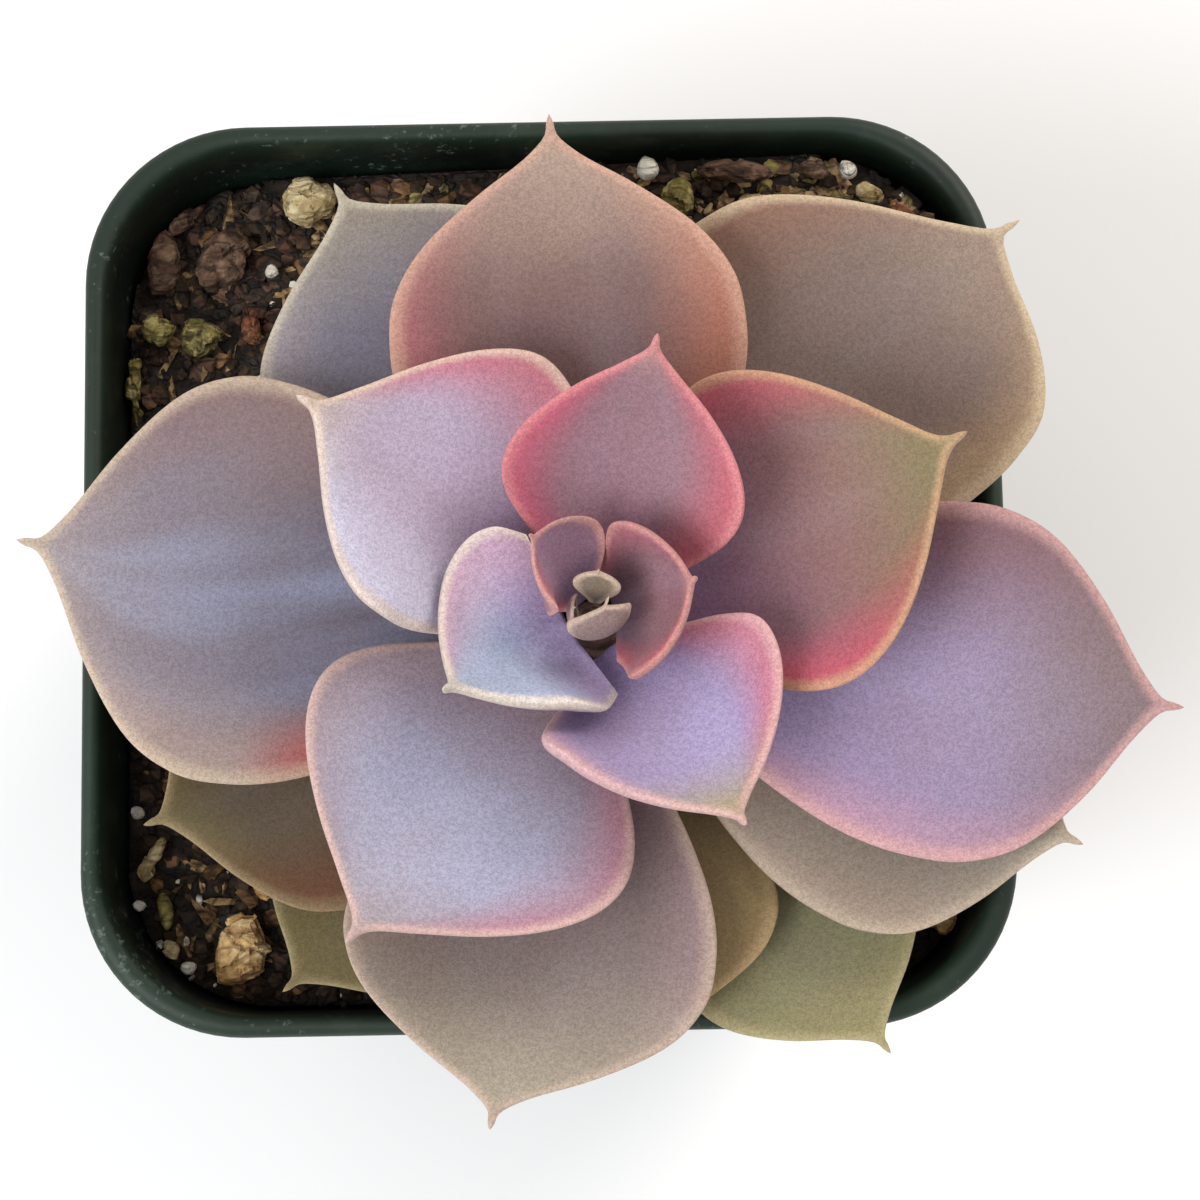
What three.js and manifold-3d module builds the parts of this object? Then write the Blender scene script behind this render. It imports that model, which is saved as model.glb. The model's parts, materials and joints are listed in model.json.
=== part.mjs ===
// A rosette succulent growing in a square nursery pot: pot, potting mix, stem, leaves, bark and perlite.
// Millimetres, +Z up. The origin is the centre of the pot's underside, on the surface that it stands on.

import * as THREE from "three";
import { mergeVertices } from "three/addons/utils/BufferGeometryUtils.js";
import Module from "manifold-3d";

const wasm = await Module();
wasm.setup();

// ---------- Driving dimensions ----------

const clearance = 0.3; // left between any two pieces that touch

const pot = {
  width: 102, // across the outside of the lip
  baseWidth: 74,
  height: 89,
  cornerRadius: 18, // at the lip
  wall: 1.1,
  floor: 1.6,
  lip: 2.4, // how wide the rolled lip is, seen from above
  lipHeight: 3,
  lipOverhang: 0.9, // how far the lip stands out past the collar
  collarHeight: 13, // the stepped band under the lip
  collarTaper: 0.8, // how much narrower the inside gets on each side, down the collar
  collarStep: 0.7, // how far the collar stands out past the body
  footHeight: 1.5, // how far the recessed ring of the underside is lifted
  footBand: 9, // width of the flat band that the pot stands on
  hubWidth: 22, // the flat pad in the middle of the underside
};

const grownIn = 102; // the pot width that the plant's sizes below are given for
const growth = pot.width / grownIn; // a plant in a narrower pot stays smaller

const drain = { length: 11, width: 4.5, endRadius: 2.2 }; // slots in the recessed ring

const soil = {
  depthBelowLip: 11, // level at the left, under the top of the lip
  mound: 1.5, // rise towards the stem
  heap: 8, // rise towards the back right corner
  heapSlant: 1.4, // how much more the heap faces the back than the right
  heapSpread: 0.8, // how far the heap's slope reaches, as a share of the pot's width
  ripple: 0.4,
};

const plant = {
  x: 5.4 * growth, // where the stem stands, off the pot's centre
  y: -8.8 * growth,
  stemRadius: 6.8, // at the soil
  tipRadius: 0.9, // where the youngest leaves stand
  rootDepth: 26, // the root crown that anchors the plant
  lowestLeaf: 4.7, // how far the oldest leaf's base lies below the top of the lip
  pitchShare: 0.25, // rise along the stem from one leaf to the next, as a share of a leaf's thickness
  growingTip: 0.6, // the stem ends this far above the youngest leaf's base
};

const leafShape = {
  thickness: 4.2, // of a leaf as wide as fullWidth
  fullWidth: 38,
  baseThickness: 0.55, // share of the thickness at the stem
  thickestAt: 0.4, // share of the length
  thinning: 0.72, // share of the thickness that is lost from there to the tip
  fullness: 0.75, // lower makes the section boxier, higher makes its margins sharper
  widestAt: 0.58, // share of the length
  baseShare: 0.18, // width at the stem, as a share of the full width
  shoulder: 2.8, // higher is blunter towards the tip
  flare: 1.5, // over 1, the sides draw in to the point with a hollow curve
  pointLength: 2.4, // the soft spine at the tip
  pointHalfWidth: 0.7,
  topShare: 0.36, // of the thickness lies above the middle surface, for a flat top and a keeled back
  sag: 0.1, // how far the midrib bows below its chord
};

// Youngest leaf first, counted outwards from the bud as the plant grew them, about 137.5 degrees apart.
// azimuth in degrees; reach = tip from the stem's axis; rise = tip above the leaf's own base;
// cup = how far each half turns up from the midrib to the margin, in degrees; roll lifts the left margin;
// swing moves the tip to the left; plump thickens a leaf; leftShare narrows the left half; sag, widestAt,
// shoulder and baseShare stand in for the common values above.
const grownLeaves = [
  { azimuth: 80, reach: 3.4, rise: 6.4, width: 4.6, cup: 25, plump: 2.8, sag: 0.05 },
  { azimuth: 285, reach: -0.5, rise: 6.2, width: 6.5, cup: 30, plump: 2.4, swing: 1.8, sag: 0.2 },
  { azimuth: 176, reach: 1.8, rise: 5.4, width: 3.2, cup: 30, plump: 2.4, sag: 0.1 },
  {
    azimuth: 128, reach: 9.4, rise: 10.5, width: 12.5, cup: 60,
    roll: 32, swing: 0.6, widestAt: 0.48, shoulder: 2.2,
  },
  {
    azimuth: 9, reach: 10.6, rise: 11.5, width: 19, cup: 62,
    roll: -4, swing: 0.8, widestAt: 0.44, shoulder: 2.1, baseShare: 0.5,
  },
  {
    azimuth: 211, reach: 17.4, rise: 12.5, width: 28, cup: 52,
    roll: 22, swing: -0.6, widestAt: 0.24, shoulder: 1.9, baseShare: 0.8, leftShare: 0.72,
  },
  { azimuth: 75.5, reach: 28, rise: 15.5, width: 27.4, cup: 48, widestAt: 0.44, shoulder: 2.1 },
  { azimuth: 303.4, reach: 27, rise: 14.5, width: 29.5, cup: 54, roll: -13, widestAt: 0.34, shoulder: 2 },
  {
    azimuth: 138.5, reach: 37.5, rise: 12.5, width: 36.5, cup: 40,
    roll: 20, swing: 3, widestAt: 0.5, shoulder: 2,
  },
  { azimuth: 24.5, reach: 42.5, rise: 13, width: 36.6, cup: 38, widestAt: 0.45, shoulder: 2.2 },
  { azimuth: 232.5, reach: 42, rise: 12, width: 39, cup: 32, widestAt: 0.46, shoulder: 2.2 },
  { azimuth: 94, reach: 54, rise: 10, width: 38, cup: 24, widestAt: 0.52 },
  { azimuth: 350.6, reach: 61.5, rise: 10.6, width: 37.6, cup: 24, roll: 4, swing: -0.6 },
  { azimuth: 171, reach: 61, rise: 9.5, width: 43, cup: 18 },
  { azimuth: 50.5, reach: 62.5, rise: 8, width: 42, cup: 15, roll: 4, swing: -8.6, shoulder: 3.4 },
  { azimuth: 257.5, reach: 53.5, rise: 9.5, width: 38.4, cup: 16, shoulder: 2.7 },
  { azimuth: 119, reach: 56.5, rise: 6.3, width: 37, cup: 12, shoulder: 3 },
  { azimuth: 336, reach: 56, rise: 9.6, width: 35, cup: 14, swing: -1.4, shoulder: 3 },
  { azimuth: 202.5, reach: 52, rise: 6.5, width: 32, cup: 12, shoulder: 3 },
  { azimuth: 72, reach: 46, rise: 3.5, width: 28, cup: 8 },
  { azimuth: 276, reach: 45.5, rise: 7.5, width: 31, cup: 7, sag: 0.09 },
  { azimuth: 154, reach: 40, rise: 3.5, width: 24, cup: 10 },
  { azimuth: 11, reach: 40, rise: 3.5, width: 24, cup: 10 },
  { azimuth: 230, reach: 50.5, rise: 7, width: 28, cup: 10, sag: 0.08, swing: -1.8, shoulder: 3 },
  { azimuth: 92, reach: 40, rise: 3, width: 24, cup: 10, sag: 0.07 },
  { azimuth: 304, reach: 54.5, rise: 11, width: 27.6, cup: 10, roll: -2, sag: 0.07, shoulder: 3 },
];
const leaves = grownLeaves.map((leaf) => ({
  ...leaf,
  reach: leaf.reach * growth,
  width: leaf.width * growth,
}));

const chipBedReach = 60.6; // centre to corner of the bed that the chips' places and sizes are given for

// Bark chips that lie on the mix: centre, size, direction of the length from +X and rise of that end,
// in degrees.
const barkChips = [
  { x: -43.5, y: 38, length: 8, width: 4.4, thickness: 2.4, turn: 85, tilt: 6, tone: "brown" },
  { x: -36.5, y: 37.5, length: 9.5, width: 6.2, thickness: 3.2, turn: 65, tilt: -7, tone: "brown" },
  { x: -26.5, y: 44, length: 7, width: 5.8, thickness: 3, turn: 15, tilt: 5, tone: "cream" },
  { x: -44, y: 29.8, length: 4.2, width: 3.6, thickness: 2.8, turn: 30, tilt: 0, tone: "olive" },
  { x: -39, y: 28.6, length: 5.2, width: 4.4, thickness: 3, turn: 10, tilt: 8, tone: "olive" },
  { x: -33.4, y: 30, length: 4.6, width: 3.2, thickness: 2.2, turn: 100, tilt: 0, tone: "red" },
  { x: -40.6, y: 43, length: 6, width: 2, thickness: 1.4, turn: 38, tilt: 4, tone: "brown" },
  { x: -46.7, y: 22.5, length: 9, width: 1.4, thickness: 1.6, turn: 90, tilt: 3, tone: "olive" },
  { x: 22.4, y: 45.4, length: 9, width: 2.8, thickness: 2.2, turn: -8, tilt: 6, tone: "brown" },
  { x: 15.6, y: 41.8, length: 5.4, width: 4.2, thickness: 3, turn: 80, tilt: 0, tone: "olive" },
  { x: 24.4, y: 41, length: 4.5, width: 2.8, thickness: 2, turn: 5, tilt: 0, tone: "cream" },
  { x: 31, y: 45.2, length: 5, width: 2.6, thickness: 2.2, turn: -14, tilt: 0, tone: "brown" },
  { x: 37.4, y: 42.2, length: 3.6, width: 2, thickness: 1.6, turn: 150, tilt: 0, tone: "cream" },
  { x: 41.6, y: 38.4, length: 7.5, width: 2.6, thickness: 2.4, turn: 125, tilt: 8, tone: "red" },
  { x: 19.9, y: 40, length: 2.8, width: 2.3, thickness: 1.8, turn: 45, tilt: 0, tone: "red" },
  { x: -44.3, y: -30.6, length: 6.3, width: 1.6, thickness: 1.4, turn: 60, tilt: 6, tone: "cream" },
  { x: -43, y: -36.6, length: 4.5, width: 1.3, thickness: 1.2, turn: 100, tilt: 0, tone: "olive" },
  { x: -34.3, y: -41.2, length: 9, width: 6.6, thickness: 3.4, turn: 70, tilt: 5, tone: "tan" },
  { x: -30.4, y: -34, length: 5.2, width: 4, thickness: 2.6, turn: 20, tilt: 0, tone: "tan" },
  { x: -42.4, y: -40.8, length: 2.6, width: 1.9, thickness: 1.6, turn: 130, tilt: 0, tone: "cream" },
  { x: 43, y: -38.6, length: 5, width: 3.8, thickness: 2.6, turn: 130, tilt: 4, tone: "tan" },
];

// White perlite grains on the mix.
const perliteGrains = [
  { x: -31, y: 36.4, length: 2, width: 1.7, thickness: 1.6 },
  { x: 12.4, y: 46, length: 3.4, width: 2.6, thickness: 2.4 },
  { x: 35, y: 45, length: 2.6, width: 2, thickness: 2 },
  { x: -46.2, y: -25.6, length: 1.8, width: 1.6, thickness: 1.4 },
  { x: -46, y: -36, length: 1.7, width: 1.5, thickness: 1.4 },
  { x: -40.4, y: -43, length: 1.9, width: 1.7, thickness: 1.5 },
];

const leafStations = [0.015, 0.08, 0.19, 0.31, 0.43, 0.55, 0.66, 0.76, 0.85, 0.92]; // then the point
const leafSides = 12; // points round a leaf's section
const cornerSteps = 5; // points round each corner of the pot
const stemSides = 16;
const chipSides = 7;

// ---------- Colours ----------

const colors = {
  pot: 0x1d4a3c,
  mix: 0x2e2118,
  stem: 0x8a7a5c,
  bud: 0xa5988a,
  rose: 0xb78fa2,
  lilac: 0xa79cae,
  olive: 0x979067,
  perlite: 0xe4e0d4,
};
const barkTones = { brown: 0x5e4634, cream: 0xb9a06a, olive: 0x8a7c4a, red: 0x7a4630, tan: 0xb98a50 };
const roughness = { plastic: 0.45, leaf: 0.55, skin: 0.8, loose: 0.95 };

// ---------- Geometry helpers ----------

const radians = THREE.MathUtils.degToRad;
const smooth = (x) => THREE.MathUtils.smoothstep(x, 0, 1);

// A closed skin over a stack of rings with the same number of points, drawn together to a point at each end.
// The rings run anticlockwise as seen from the end that they lead to.
function skin(start, rings, end) {
  const count = rings[0].length;
  const points = [start, ...rings.flat(), end];
  const at = (ring, i) => 1 + ring * count + (i % count);
  const faces = [];
  for (let i = 0; i < count; i++) {
    faces.push(0, at(0, i + 1), at(0, i));
    for (let ring = 1; ring < rings.length; ring++) {
      faces.push(at(ring - 1, i), at(ring - 1, i + 1), at(ring, i + 1));
      faces.push(at(ring - 1, i), at(ring, i + 1), at(ring, i));
    }
    faces.push(points.length - 1, at(rings.length - 1, i), at(rings.length - 1, i + 1));
  }
  const geometry = new THREE.BufferGeometry().setFromPoints(points);
  geometry.setIndex(faces);
  return geometry;
}

// The outline of a square with round corners, anticlockwise from above, at one height.
function roundedSquare(width, radius, z) {
  const ring = [];
  const centre = width / 2 - radius;
  for (let corner = 0; corner < 4; corner++) {
    const turn = (corner * Math.PI) / 2;
    for (let step = 0; step < cornerSteps; step++) {
      const angle = turn + (step / (cornerSteps - 1)) * (Math.PI / 2);
      const middle = new THREE.Vector2(centre, centre).rotateAround(new THREE.Vector2(), turn);
      ring.push(
        new THREE.Vector3(middle.x + radius * Math.cos(angle), middle.y + radius * Math.sin(angle), z),
      );
    }
  }
  return ring;
}

function toManifold(geometry) {
  const bare = geometry.clone().deleteAttribute("normal").deleteAttribute("uv");
  const merged = mergeVertices(bare, 1e-4);
  return new wasm.Manifold(
    new wasm.Mesh({
      numProp: 3,
      vertProperties: merged.getAttribute("position").array,
      triVerts: new Uint32Array(merged.index.array),
    }),
  );
}

function fromManifold(manifold) {
  const mesh = manifold.getMesh();
  const geometry = new THREE.BufferGeometry();
  geometry.setAttribute("position", new THREE.BufferAttribute(mesh.vertProperties, 3));
  geometry.setIndex(new THREE.BufferAttribute(mesh.triVerts, 1));
  return geometry;
}

// ---------- Pot ----------

// The body tapers from the collar to the base, and the corners tighten with it.
const bodyTop = pot.height - pot.collarHeight;
const innerTopWidth = pot.width - 2 * pot.lip - 2 * pot.collarTaper;
const bodyTopWidth = innerTopWidth + 2 * pot.wall;
const bodyWidthAt = (z) => THREE.MathUtils.lerp(pot.baseWidth, bodyTopWidth, z / bodyTop);
const radiusFor = (width) => pot.cornerRadius * (width / pot.width);
const innerWidthAt = (z) => {
  if (z < bodyTop) return bodyWidthAt(z) - 2 * pot.wall;
  const upCollar = (z - bodyTop) / pot.collarHeight;
  return THREE.MathUtils.lerp(innerTopWidth, pot.width - 2 * pot.lip, upCollar);
};

function potRing(width, z) {
  return roundedSquare(width, radiusFor(width), z);
}

function potGeometry() {
  const recess = pot.baseWidth - 2 * pot.footBand;
  const roll = pot.lipHeight / 2;
  const collarFoot = bodyTopWidth + 2 * pot.collarStep;
  const outside = [
    potRing(pot.hubWidth, 0),
    potRing(pot.hubWidth + 2 * pot.footHeight, pot.footHeight),
    potRing(recess - 2 * pot.footHeight, pot.footHeight),
    potRing(recess, 0),
    potRing(pot.baseWidth - 2 * pot.wall, 0),
    potRing(bodyWidthAt(pot.wall), pot.wall),
    potRing(bodyTopWidth, bodyTop),
    potRing(collarFoot, bodyTop + pot.collarStep / 2),
    potRing(pot.width - 2 * pot.lipOverhang, pot.height - pot.lipHeight),
    potRing(pot.width - roll / 2, pot.height - pot.lipHeight * 0.85),
    potRing(pot.width, pot.height - roll),
    potRing(pot.width - roll / 2, pot.height - roll / 4),
  ];
  const inside = [
    potRing(pot.width - pot.lip * 0.9, pot.height),
    potRing(pot.width - pot.lip * 1.6, pot.height - roll / 4),
    potRing(pot.width - 2 * pot.lip, pot.height - roll),
    potRing(innerWidthAt(bodyTop), bodyTop),
    potRing(innerWidthAt(pot.footHeight + pot.floor), pot.footHeight + pot.floor),
  ];
  const underside = new THREE.Vector3(0, 0, 0);
  const floorTop = new THREE.Vector3(0, 0, pot.footHeight + pot.floor);
  const slots = drainSlots();
  const drilled = toManifold(skin(underside, [...outside, ...inside], floorTop)).subtract(slots);
  return fromManifold(drilled);
}

// Eight slots through the recessed ring of the floor, two on each side.
function drainSlots() {
  const ringMiddle = (pot.hubWidth + pot.baseWidth - 2 * pot.footBand) / 4 + pot.footHeight / 2;
  const half = drain.length / 2 - drain.endRadius;
  const outline = new THREE.Shape();
  outline.absarc(half, 0, drain.width / 2, -Math.PI / 2, Math.PI / 2);
  outline.absarc(-half, 0, drain.width / 2, Math.PI / 2, (3 * Math.PI) / 2);
  const depth = 2 * (pot.footHeight + pot.floor);
  let all = null;
  for (let side = 0; side < 4; side++) {
    for (const along of [-1, 1]) {
      const slot = new THREE.ExtrudeGeometry(outline, { depth, bevelEnabled: false, curveSegments: 5 });
      slot.translate(along * ringMiddle * 0.55, ringMiddle, -depth / 4);
      slot.rotateZ((side * Math.PI) / 2);
      const cutter = toManifold(slot);
      all = all ? all.add(cutter) : cutter;
    }
  }
  return all;
}

// ---------- Potting mix ----------

const soilLevel = pot.height - soil.depthBelowLip;

// The surface mounds up at the stem, heaps up in the back right corner and ripples a little.
function soilHeight(x, y) {
  const half = pot.width / 2;
  const fromStem = Math.hypot(x - plant.x, y - plant.y) / half;
  const mound = soil.mound * (1 - smooth(fromStem));
  const heap = soil.heap * smooth((x + soil.heapSlant * y) / (soil.heapSpread * pot.width) - 0.1);
  const ripple = Math.sin(x / 5.3) * Math.cos(y / 6.1) + 0.6 * Math.sin((x + 2 * y) / 7.7);
  return soilLevel + mound + heap + soil.ripple * ripple;
}

function soilGeometry() {
  const floorTop = pot.footHeight + pot.floor + clearance;
  const rim = (z) => potRing(innerWidthAt(z) - 2 * clearance, z);
  const lowest = soilLevel - 2 * soil.ripple;
  const sides = [rim(floorTop), rim(bodyTop)];
  const shares = [1, 0.86, 0.7, 0.52, 0.32, 0.14];
  const top = shares.map((share) =>
    rim(lowest).map((point) => {
      const x = point.x * share;
      const y = point.y * share;
      return new THREE.Vector3(x, y, soilHeight(x, y));
    }),
  );
  const middle = new THREE.Vector3(0, 0, soilHeight(0, 0));
  const block = toManifold(skin(new THREE.Vector3(0, 0, floorTop), [...sides, ...top], middle));
  return fromManifold(block.subtract(toManifold(stemGeometry(clearance))));
}

// ---------- Stem ----------

const stemFoot = soilHeight(plant.x, plant.y);
const lowestLeafBase = pot.height - plant.lowestLeaf;
const leafPitch = plant.pitchShare * leafShape.thickness;
const topLeafBase = lowestLeafBase + leafPitch * (leaves.length - 1);
const stemTop = topLeafBase + plant.growingTip;
const stemHeight = stemTop - stemFoot;

// The stem tapers to the growing tip and domes over it. The root crown hangs below like a short cone.
function stemRadiusAt(z) {
  const up = THREE.MathUtils.clamp((z - stemFoot) / stemHeight, 0, 1);
  return THREE.MathUtils.lerp(plant.stemRadius, plant.tipRadius, up) * Math.sqrt(1 - 0.95 * up ** 16);
}

function stemGeometry(grow = 0) {
  const crown = [
    { radius: 0.12, depth: 1 },
    { radius: 0.4, depth: 0.86 },
    { radius: 0.75, depth: 0.55 },
    { radius: 1.05, depth: 0.28 },
    { radius: 1.1, depth: 0.12 },
  ];
  const profile = [new THREE.Vector2(0, stemFoot - plant.rootDepth - grow)];
  for (const part of crown) {
    const z = stemFoot - plant.rootDepth * part.depth;
    profile.push(new THREE.Vector2(plant.stemRadius * part.radius + grow, z));
  }
  for (const share of [0, 0.25, 0.5, 0.75, 0.9, 0.98]) {
    const z = stemFoot + stemHeight * share;
    profile.push(new THREE.Vector2(stemRadiusAt(z) + grow, z));
  }
  profile.push(new THREE.Vector2(0, stemTop + grow));
  const geometry = new THREE.LatheGeometry(profile, stemSides);
  geometry.rotateX(Math.PI / 2); // the lathe turns about Y
  geometry.translate(plant.x, plant.y, 0);
  return geometry;
}

// ---------- Leaves ----------

const leafScale = (leaf) => Math.sqrt(leaf.width / leafShape.fullWidth);

// Where the blade ends and the point begins, as a share of the leaf's length.
function bladeEndOf(leaf, length) {
  return 1 - (leafShape.pointLength * leafScale(leaf)) / length;
}

function halfWidthAt(share, leaf, bladeEnd) {
  const widestAt = leaf.widestAt ?? leafShape.widestAt;
  const shoulder = leaf.shoulder ?? leafShape.shoulder;
  const rising = Math.sin((Math.PI / 2) * Math.min(share / widestAt, 1)) ** 1.25;
  const closing = THREE.MathUtils.clamp((share - widestAt) / (bladeEnd - widestAt), 0, 1);
  const spread = THREE.MathUtils.lerp(leaf.baseShare ?? leafShape.baseShare, 1, rising);
  const blade = spread * (1 - closing ** shoulder) ** leafShape.flare;
  const pastBlade = THREE.MathUtils.clamp((share - bladeEnd) / (1 - bladeEnd), 0, 1);
  const point = leafShape.pointHalfWidth * leafScale(leaf) * (1 - pastBlade) ** 0.7;
  return (leaf.width / 2) * blade + point;
}

function leafThicknessAt(share, leaf) {
  const fullest = leafShape.thickness * (leaf.width / leafShape.fullWidth) * (leaf.plump ?? 1);
  const swell = THREE.MathUtils.lerp(leafShape.baseThickness, 1, smooth(share / leafShape.thickestAt));
  const pastThickest = (share - leafShape.thickestAt) / (1 - leafShape.thickestAt);
  const thin = 1 - leafShape.thinning * smooth(pastThickest);
  return fullest * swell * thin;
}

// The midrib in the leaf's own upright plane: x outwards from the stem's axis, y up.
function midribOf(leaf, index) {
  const age = leaves.length - 1 - index;
  const baseZ = lowestLeafBase + leafPitch * age;
  const reachAtBase = stemRadiusAt(baseZ - leafThicknessAt(0, leaf)) + clearance;
  const start = new THREE.Vector2(reachAtBase, baseZ);
  const end = new THREE.Vector2(leaf.reach, baseZ + leaf.rise);
  const sag = leaf.sag ?? leafShape.sag;
  const below = new THREE.Vector2(leaf.rise, reachAtBase - leaf.reach).multiplyScalar(2 * sag);
  const belly = start.clone().lerp(end, 0.5).add(below);
  return new THREE.QuadraticBezierCurve(start, belly, end);
}

// A ring round the leaf: flat above, keeled below, and curled up towards both margins.
function leafRing(share, leaf, midrib, bladeEnd) {
  const up = new THREE.Vector3(0, 0, 1);
  const radial = new THREE.Vector3(1, 0, 0).applyAxisAngle(up, radians(leaf.azimuth));
  const left = new THREE.Vector3().crossVectors(up, radial);
  const spot = midrib.getPointAt(share);
  const slope = midrib.getTangentAt(share);
  const along = radial.clone().multiplyScalar(slope.x).addScaledVector(up, slope.y);
  const roll = radians(leaf.roll ?? 0) * smooth(share * 2);
  const side = left.clone().applyAxisAngle(along, roll);
  const face = new THREE.Vector3().crossVectors(along, side);
  const middle = new THREE.Vector3(plant.x, plant.y, spot.y)
    .addScaledVector(radial, spot.x)
    .addScaledVector(left, (leaf.swing ?? 0) * share ** 3);
  if (share === 0 || share === 1) return middle;

  const half = halfWidthAt(share, leaf, bladeEnd);
  const thickness = leafThicknessAt(share, leaf);
  const curlRadius = leaf.width / 2 / radians(leaf.cup);
  const ring = [];
  for (let i = 0; i < leafSides; i++) {
    const turn = (2 * Math.PI * i) / leafSides;
    const above = Math.sin(turn) > 0;
    const fullness = Math.abs(Math.sin(turn)) ** leafShape.fullness;
    const lift = thickness * fullness * (above ? leafShape.topShare : leafShape.topShare - 1);
    const lopsided = Math.cos(turn) > 0 ? (leaf.leftShare ?? 1) : 1;
    const angle = (half * lopsided * Math.cos(turn)) / curlRadius;
    const across = Math.sin(angle) * (curlRadius - lift);
    const rise = curlRadius - Math.cos(angle) * (curlRadius - lift);
    ring.push(middle.clone().addScaledVector(side, across).addScaledVector(face, rise));
  }
  return ring;
}

function leafGeometry(leaf, index) {
  const midrib = midribOf(leaf, index);
  const bladeEnd = bladeEndOf(leaf, midrib.getLength());
  const shares = [...leafStations.filter((share) => share < bladeEnd - 0.02), bladeEnd, (bladeEnd + 2) / 3];
  const rings = shares.map((share) => leafRing(share, leaf, midrib, bladeEnd));
  const start = leafRing(0, leaf, midrib, bladeEnd);
  const end = leafRing(1, leaf, midrib, bladeEnd);
  return skin(start, rings, end);
}

// ---------- Bark and perlite ----------

// An uneven pebble with its length along X. The seed varies the outline from piece to piece.
function chipGeometry(chip, seed) {
  const jitter = (i, amount) => 1 + amount * Math.sin(seed * 12.9 + i * 78.2 + Math.cos(seed + i * 3.1));
  const ringAt = (share, spread, shift) => {
    const ring = [];
    for (let i = 0; i < chipSides; i++) {
      const turn = (2 * Math.PI * i) / chipSides;
      const x = (chip.length / 2) * spread * Math.cos(turn) * jitter(i, 0.1);
      const y = (chip.width / 2) * spread * Math.sin(turn) * jitter(i + 9, 0.1);
      ring.push(new THREE.Vector3(x, y, chip.thickness * share * jitter(i + shift, 0.08)));
    }
    return ring;
  };
  const rings = [ringAt(0.1, 0.7, 2), ringAt(0.45, 0.92, 4), ringAt(0.85, 0.68, 6)];
  const geometry = skin(new THREE.Vector3(0, 0, 0), rings, new THREE.Vector3(0, 0, chip.thickness));
  geometry.rotateY(-radians(chip.tilt ?? 0));
  geometry.rotateZ(radians(chip.turn ?? 20 * seed));
  return geometry;
}

// Lowers a piece onto the mix, until its closest corner is one clearance away.
function settle(geometry, chip, soilMesh) {
  const corner = radiusFor(innerTopWidth);
  const spread = ((innerTopWidth / 2 - corner) * Math.SQRT2 + corner) / chipBedReach;
  geometry.scale(spread, spread, spread);
  geometry.translate(chip.x * spread, chip.y * spread, 2 * pot.height);
  const down = new THREE.Vector3(0, 0, -1);
  const ray = new THREE.Raycaster();
  const corners = geometry.getAttribute("position");
  let drop = Infinity;
  for (let i = 0; i < corners.count; i++) {
    ray.set(new THREE.Vector3().fromBufferAttribute(corners, i), down);
    for (const hit of ray.intersectObject(soilMesh).slice(0, 1)) drop = Math.min(drop, hit.distance);
  }
  geometry.translate(0, 0, clearance - drop);
  return geometry;
}

// ---------- The model ----------

const model = new THREE.Group();

function addPiece(name, geometry, color, roughnessValue) {
  const material = new THREE.MeshStandardMaterial({ color, roughness: roughnessValue, metalness: 0 });
  const mesh = new THREE.Mesh(geometry, material);
  mesh.name = name;
  model.add(mesh);
  return mesh;
}

const numbered = (name, index) => `${name}_${String(index + 1).padStart(2, "0")}`;

function leafColor(index) {
  if (index < 3) return colors.bud;
  if (index < 11) return colors.rose;
  return index < 18 ? colors.lilac : colors.olive;
}

addPiece("pot", potGeometry(), colors.pot, roughness.plastic);
const mixMesh = addPiece("potting_mix", soilGeometry(), colors.mix, roughness.loose);
addPiece("stem", stemGeometry(), colors.stem, roughness.skin);

leaves.forEach((leaf, index) => {
  addPiece(numbered("leaf", index), leafGeometry(leaf, index), leafColor(index), roughness.leaf);
});

barkChips.forEach((chip, index) => {
  const geometry = settle(chipGeometry(chip, index + 1), chip, mixMesh);
  addPiece(numbered("bark", index), geometry, barkTones[chip.tone], roughness.loose);
});

perliteGrains.forEach((grain, index) => {
  const geometry = settle(chipGeometry(grain, index + 40), grain, mixMesh);
  addPiece(numbered("perlite", index), geometry, colors.perlite, roughness.loose);
});

export default model;
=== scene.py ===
import json
import math

import bmesh
import bpy
import numpy as np
from mathutils import Matrix, Vector
from mathutils.bvhtree import BVHTree


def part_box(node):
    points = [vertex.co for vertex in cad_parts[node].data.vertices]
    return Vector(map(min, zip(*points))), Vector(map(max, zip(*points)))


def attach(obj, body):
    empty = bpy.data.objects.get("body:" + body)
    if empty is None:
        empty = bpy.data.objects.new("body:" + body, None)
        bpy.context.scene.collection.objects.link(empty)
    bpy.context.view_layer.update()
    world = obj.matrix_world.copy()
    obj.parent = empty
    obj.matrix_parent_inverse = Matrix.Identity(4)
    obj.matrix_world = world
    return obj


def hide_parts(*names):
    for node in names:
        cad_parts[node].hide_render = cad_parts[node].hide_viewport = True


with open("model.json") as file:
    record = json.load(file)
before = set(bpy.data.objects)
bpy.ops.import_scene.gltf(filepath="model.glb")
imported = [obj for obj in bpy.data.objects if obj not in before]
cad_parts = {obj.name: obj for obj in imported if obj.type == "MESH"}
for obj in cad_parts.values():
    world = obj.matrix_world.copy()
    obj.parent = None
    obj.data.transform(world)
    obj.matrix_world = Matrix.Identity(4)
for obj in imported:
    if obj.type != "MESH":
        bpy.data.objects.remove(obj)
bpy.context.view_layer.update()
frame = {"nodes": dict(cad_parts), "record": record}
millimetre = 0.001
perSquareCentimetre = 1e4
slotOf = {part["node"]: part["material_slot"] for part in frame["record"]["subparts"]}


# An input is named or numbered, and takes a value or another node's output.
def addNode(tree, kind, inputs=None, **settings):
    node = tree.nodes.new(kind)
    for key, value in settings.items():
        setattr(node, key, value)
    for key, value in (inputs or {}).items():
        if isinstance(value, bpy.types.NodeSocket):
            tree.links.new(value, node.inputs[key])
        else:
            node.inputs[key].default_value = value
    return node


def calc(tree, operation, first, second=0.0):
    return addNode(tree, "ShaderNodeMath", {0: first, 1: second}, operation=operation).outputs[0]


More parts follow.
